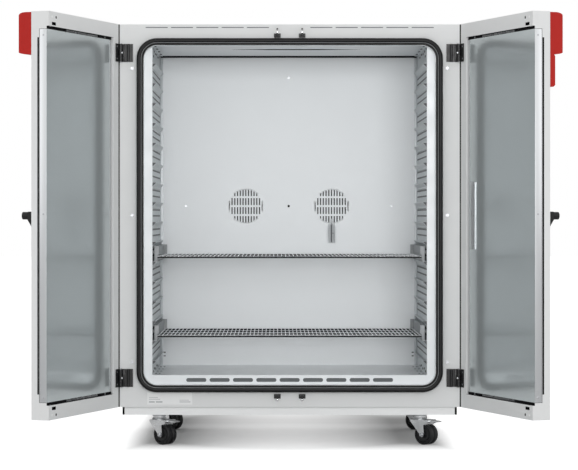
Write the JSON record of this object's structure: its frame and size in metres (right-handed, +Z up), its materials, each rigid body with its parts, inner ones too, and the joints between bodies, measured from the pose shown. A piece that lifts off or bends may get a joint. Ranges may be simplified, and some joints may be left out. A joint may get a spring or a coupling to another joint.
{
  "type": "environmental test chamber",
  "caption": "Floor-standing environmental test chamber with double doors, stainless interior with shelf rails, fan-mixed air, wire shelves, latch levers and braked casters.",
  "frame": {"origin": "centre of the bounding box on the floor, with both doors open as in the picture", "axes": "+X to the right as seen from the front, +Y to the rear of the cabinet, +Z up"},
  "size_m": [1.8514, 1.3522, 1.528],
  "materials": {
    "grey_paint": "satin",
    "stainless_steel": "satin",
    "shelf_wire": "satin",
    "zinc_plate": "satin",
    "cast_aluminium": "matte",
    "black_casting": "satin",
    "black_plastic": "matte",
    "red_plastic": "satin",
    "display_glass": "gloss",
    "button_plastic": "satin",
    "gasket_rubber": "matte",
    "caster_tyre": "matte",
    "foam_core": "matte"
  },
  "bodies": {
    "cabinet": {"outer_housing": "grey_paint", "rear_panel": "grey_paint", "front_frame": "grey_paint", "base_plinth": "grey_paint", "door_gasket": "gasket_rubber", "front_collar": "stainless_steel", "inner_chamber": "stainless_steel", "left_air_baffle": "stainless_steel", "right_air_baffle": "stainless_steel", "rear_air_baffle": "stainless_steel", "insulation": "foam_core", "fan_motors": "black_casting", "heater_coils": "zinc_plate", "temperature_probe": "zinc_plate", "probe_guard": "stainless_steel", "door_strikers": "black_casting", "hinge_frame_leaves": "black_casting", "hinge_pins": "zinc_plate", "panel_screws": "zinc_plate", "shelf_carriers": "stainless_steel", "power_inlet": "black_plastic", "exhaust_spigot": "stainless_steel", "caster_mounts": "zinc_plate"},
    "left_door": {"left_door_shell": "grey_paint", "left_door_core": "foam_core", "left_inner_panel": "stainless_steel", "left_hinge_leaves": "black_casting", "left_fascia": "red_plastic", "left_escutcheon": "black_plastic"},
    "left_handle": {"left_lever": "black_plastic", "left_spindle": "zinc_plate"},
    "left_rod_up": {"left_upper_rod": "zinc_plate"},
    "left_rod_down": {"left_lower_rod": "zinc_plate"},
    "right_door": {"right_door_shell": "grey_paint", "right_door_core": "foam_core", "right_inner_panel": "stainless_steel", "right_hinge_leaves": "black_casting", "right_fascia": "red_plastic", "right_escutcheon": "black_plastic", "display": "display_glass", "cable_cover": "stainless_steel"},
    "right_handle": {"right_lever": "black_plastic", "right_spindle": "zinc_plate"},
    "right_rod_up": {"right_upper_rod": "zinc_plate"},
    "right_rod_down": {"right_lower_rod": "zinc_plate"},
    "button": {"power_button": "button_plastic"},
    "shelf_upper": {"upper_shelf": "shelf_wire"},
    "shelf_lower": {"lower_shelf": "shelf_wire"},
    "fan_left": {"left_fan_wheel": "cast_aluminium"},
    "fan_right": {"right_fan_wheel": "cast_aluminium"},
    "front_left_caster": {"front_left_fork": "zinc_plate"},
    "front_left_roller": {"front_left_wheels": "caster_tyre"},
    "front_right_caster": {"front_right_fork": "zinc_plate"},
    "front_right_roller": {"front_right_wheels": "caster_tyre"},
    "rear_left_caster": {"rear_left_fork": "zinc_plate"},
    "rear_left_roller": {"rear_left_wheels": "caster_tyre"},
    "rear_right_caster": {"rear_right_fork": "zinc_plate"},
    "rear_right_roller": {"rear_right_wheels": "caster_tyre"},
    "left_pedal": {"left_brake_pedal": "zinc_plate"},
    "right_pedal": {"right_brake_pedal": "zinc_plate"}
  },
  "joints": [
    {"name": "left_door_hinge", "type": "hinge", "parent": "cabinet", "child": "left_door", "pos_m": [-0.613, -0.10095, 0.8335], "axis": [0, 0, -1], "range_deg": [-109, 31]},
    {"name": "right_door_hinge", "type": "hinge", "parent": "cabinet", "child": "right_door", "pos_m": [0.613, -0.10095, 0.8335], "axis": [0, 0, 1], "range_deg": [-109, 31]},
    {"name": "left_lever_turn", "type": "hinge", "parent": "left_door", "child": "left_handle", "pos_m": [-0.90004, -0.60284, 0.8335], "axis": [-0.9455, 0.3256, 0], "range_deg": [0, 90]},
    {"name": "left_upper_rod_slide", "type": "slide", "parent": "left_door", "child": "left_rod_up", "axis": [0, 0, 1], "range_m": [0, 0.01885]},
    {"name": "left_lower_rod_slide", "type": "slide", "parent": "left_door", "child": "left_rod_down", "axis": [0, 0, -1], "range_m": [0, 0.01885]},
    {"name": "right_lever_turn", "type": "hinge", "parent": "right_door", "child": "right_handle", "pos_m": [0.90004, -0.60284, 0.8335], "axis": [-0.9455, -0.3256, 0], "range_deg": [0, 90]},
    {"name": "right_upper_rod_slide", "type": "slide", "parent": "right_door", "child": "right_rod_up", "axis": [0, 0, 1], "range_m": [0, 0.01885]},
    {"name": "right_lower_rod_slide", "type": "slide", "parent": "right_door", "child": "right_rod_down", "axis": [0, 0, -1], "range_m": [0, 0.01885]},
    {"name": "power_button_press", "type": "slide", "parent": "right_door", "child": "button", "axis": [-0.9455, -0.3256, 0], "range_m": [0, 0.002], "stiffness_N_per_m": 400},
    {"name": "upper_shelf_slide", "type": "slide", "parent": "cabinet", "child": "shelf_upper", "axis": [0, -1, 0], "range_m": [0, 0.4]},
    {"name": "lower_shelf_slide", "type": "slide", "parent": "cabinet", "child": "shelf_lower", "axis": [0, -1, 0], "range_m": [0, 0.4]},
    {"name": "left_fan_spin", "type": "hinge", "parent": "cabinet", "child": "fan_left", "pos_m": [-0.167, 0.57205, 0.871], "axis": [0, 1, 0], "continuous": true},
    {"name": "right_fan_spin", "type": "hinge", "parent": "cabinet", "child": "fan_right", "pos_m": [0.167, 0.57205, 0.871], "axis": [0, 1, 0], "continuous": true},
    {"name": "front_left_swivel", "type": "hinge", "parent": "cabinet", "child": "front_left_caster", "pos_m": [-0.476, -0.03395, 0.1], "axis": [0, 0, 1], "continuous": true},
    {"name": "front_left_roll", "type": "hinge", "parent": "front_left_caster", "child": "front_left_roller", "pos_m": [-0.45364, -0.0508, 0.0375], "axis": [0.6018, 0.7986, 0], "continuous": true},
    {"name": "front_right_swivel", "type": "hinge", "parent": "cabinet", "child": "front_right_caster", "pos_m": [0.476, -0.03395, 0.1], "axis": [0, 0, 1], "continuous": true},
    {"name": "front_right_roll", "type": "hinge", "parent": "front_right_caster", "child": "front_right_roller", "pos_m": [0.49836, -0.0508, 0.0375], "axis": [0.6018, 0.7986, 0], "continuous": true},
    {"name": "rear_left_swivel", "type": "hinge", "parent": "cabinet", "child": "rear_left_caster", "pos_m": [-0.476, 0.58605, 0.1], "axis": [0, 0, 1], "continuous": true},
    {"name": "rear_left_roll", "type": "hinge", "parent": "rear_left_caster", "child": "rear_left_roller", "pos_m": [-0.45364, 0.5692, 0.0375], "axis": [0.6018, 0.7986, 0], "continuous": true},
    {"name": "rear_right_swivel", "type": "hinge", "parent": "cabinet", "child": "rear_right_caster", "pos_m": [0.476, 0.58605, 0.1], "axis": [0, 0, 1], "continuous": true},
    {"name": "rear_right_roll", "type": "hinge", "parent": "rear_right_caster", "child": "rear_right_roller", "pos_m": [0.49836, 0.5692, 0.0375], "axis": [0.6018, 0.7986, 0], "continuous": true},
    {"name": "left_brake_lift", "type": "hinge", "parent": "front_left_caster", "child": "left_pedal", "pos_m": [-0.43926, -0.06163, 0.086], "axis": [-0.6018, -0.7986, 0], "range_deg": [0, 14]},
    {"name": "right_brake_lift", "type": "hinge", "parent": "front_right_caster", "child": "right_pedal", "pos_m": [0.51274, -0.06163, 0.086], "axis": [-0.6018, -0.7986, 0], "range_deg": [0, 14]}
  ],
  "couplings": [
    {"joint": "left_upper_rod_slide", "follows": "left_lever_turn", "m_per_rad": 0.012},
    {"joint": "left_lower_rod_slide", "follows": "left_lever_turn", "m_per_rad": 0.012},
    {"joint": "right_upper_rod_slide", "follows": "right_lever_turn", "m_per_rad": 0.012},
    {"joint": "right_lower_rod_slide", "follows": "right_lever_turn", "m_per_rad": 0.012}
  ]
}
